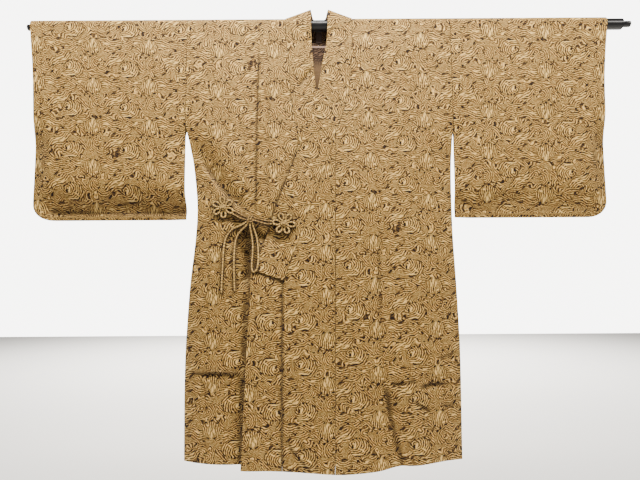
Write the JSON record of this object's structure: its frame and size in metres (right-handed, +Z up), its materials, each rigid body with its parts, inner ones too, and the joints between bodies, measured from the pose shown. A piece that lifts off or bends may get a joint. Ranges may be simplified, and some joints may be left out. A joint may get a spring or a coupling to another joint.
{
  "type": "kimono coat on a rod",
  "caption": "Lined kimono travelling coat, lapped left over right and tied at the side with flower knots, hung flat with a rod through both sleeves.",
  "frame": {"origin": "on the axis of the rod that carries the coat, at the middle of the coat's width", "axes": "+Z up; the coat's front faces -Y; +X is the viewer's right, which is the wearer's left, and lies along the rod"},
  "size_m": [1.402, 0.0842, 1.0236],
  "materials": {
    "crepe": "printed silk crepe, beige gold with dark brown lines, soft low sheen",
    "lining": "plain dark brown silk lining",
    "tape": "plain woven tape",
    "cord": "rolled cord of the printed crepe",
    "rod": "black paint, semi-gloss"
  },
  "bodies": {
    "root": {"body_right": "crepe", "body_left": "crepe", "sleeve_right": "crepe", "sleeve_left": "crepe", "okumi_left": "crepe", "okumi_right": "crepe", "front_band_left": "crepe", "collar": "crepe", "back_lining": "lining", "neck_tape": "tape", "flower_inner": "cord", "flower_outer": "cord", "tie_knot": "cord", "tie_strand_1": "cord", "tie_strand_2": "cord", "tie_strand_3": "cord", "tie_strand_4": "cord", "tie_tail_1": "cord", "tie_tail_2": "cord", "tie_loop": "cord", "rod_tube": "rod", "rod_end_right": "rod", "rod_end_left": "rod"}
  },
  "joints": []
}
